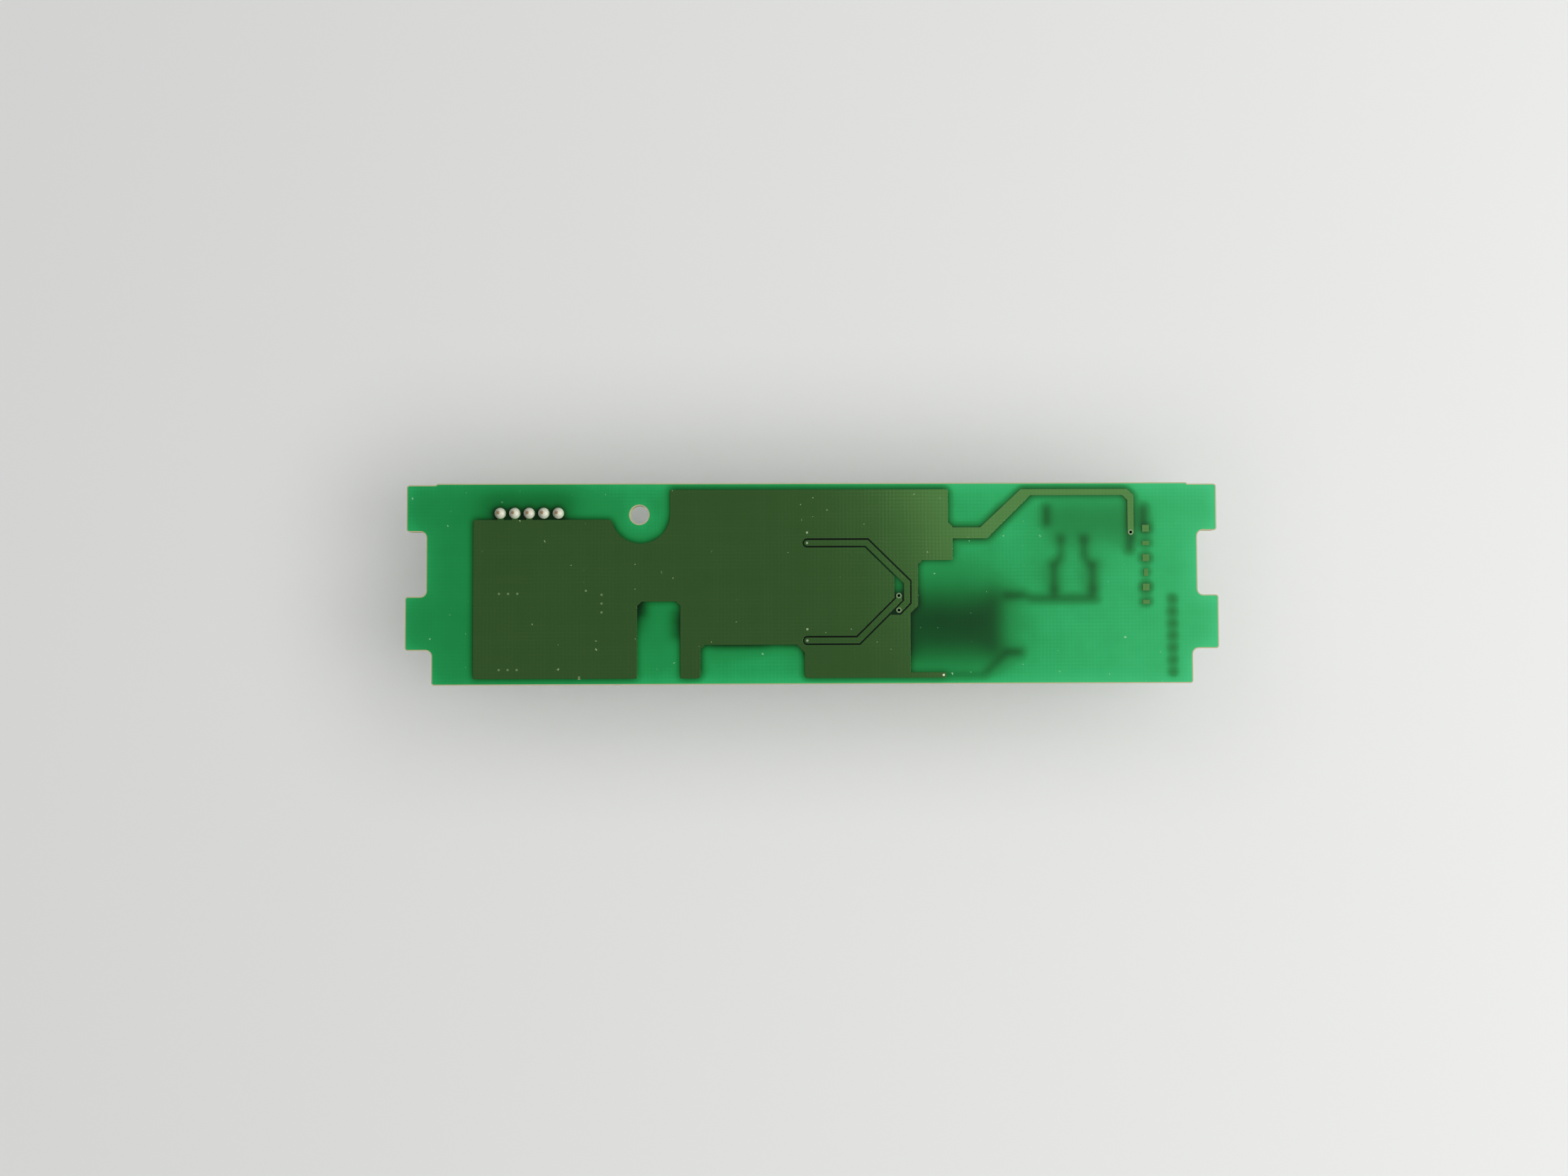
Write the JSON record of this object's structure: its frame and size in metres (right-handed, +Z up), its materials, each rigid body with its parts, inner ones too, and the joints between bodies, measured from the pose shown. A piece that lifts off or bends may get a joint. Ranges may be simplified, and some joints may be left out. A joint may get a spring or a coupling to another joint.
{
  "type": "lcd backlight inverter board",
  "caption": "Long narrow green circuit board that drives backlight lamps, solder side up, with end tabs, a mounting hole and parts below.",
  "frame": {"origin": "bottom centre of the whole outline, on the bench that the tall parts stand on", "axes": "+X along the board from the supply header to the lamp connector, +Y to the edge that both connectors face, +Z up, out of the solder side"},
  "size_m": [0.1404, 0.0348, 0.0098],
  "materials": {
    "masked_laminate": "glass-epoxy laminate under green solder mask, bare at its cut edges",
    "masked_copper": "copper under green solder mask",
    "pad_copper": "copper pads and traces",
    "via_plating": "plated copper with a thin tin coat",
    "solder": "bright solder",
    "natural_nylon": "moulded nylon",
    "white_nylon": "moulded nylon",
    "tinned_metal": "tin-plated",
    "gilt_metal": "tin over brass",
    "black_phenolic": "moulded phenolic",
    "ferrite": "fired ferrite, fine matt grain",
    "enamelled_wire": "enamelled copper wire",
    "yellow_tape": "polyester tape",
    "tan_ceramic": "fired ceramic",
    "white_ceramic": "glazed ceramic tube",
    "aluminium_can": "drawn can",
    "moulding_compound": "epoxy moulding compound",
    "grey_film": "wound film, cut faces",
    "black_glaze": "black overglaze"
  },
  "bodies": {
    "root": {"board_laminate": "masked_laminate", "solder_side_copper": "masked_copper", "component_side_copper": "pad_copper", "open_vias": "via_plating", "filled_vias": "solder", "header_solder_joints": "solder", "input_header_housing": "natural_nylon", "input_header_pins": "tinned_metal", "lamp_connector_housing": "white_nylon", "lamp_connector_contacts": "gilt_metal", "lamp_connector_tabs": "tinned_metal", "transformer_bobbin": "black_phenolic", "ferrite_half_left": "ferrite", "ferrite_half_right": "ferrite", "primary_winding": "enamelled_wire", "high_voltage_winding": "enamelled_wire", "transformer_terminals": "tinned_metal", "transformer_tape": "yellow_tape", "high_voltage_capacitor_1": "tan_ceramic", "high_voltage_capacitor_2": "tan_ceramic", "high_voltage_capacitor_ends": "tinned_metal", "input_fuse_body": "white_ceramic", "input_fuse_caps": "tinned_metal", "electrolytic_can": "aluminium_can", "electrolytic_base": "black_phenolic", "electrolytic_leads": "tinned_metal", "choke_drum": "ferrite", "choke_winding": "enamelled_wire", "choke_base_plate": "black_phenolic", "controller_body": "moulding_compound", "controller_leads_row": "tinned_metal", "input_switch_body": "moulding_compound", "input_switch_leads": "tinned_metal", "drive_transistor_1": "moulding_compound", "drive_transistor_2": "moulding_compound", "drive_transistor_leads": "tinned_metal", "film_capacitor_body": "grey_film", "film_capacitor_ends": "tinned_metal", "diode_body": "moulding_compound", "diode_leads": "tinned_metal", "chip_resistor_bodies": "black_glaze", "chip_capacitor_bodies": "tan_ceramic", "chip_part_ends": "tinned_metal", "small_transistor_bodies": "moulding_compound", "small_transistor_leads": "tinned_metal"}
  },
  "joints": []
}
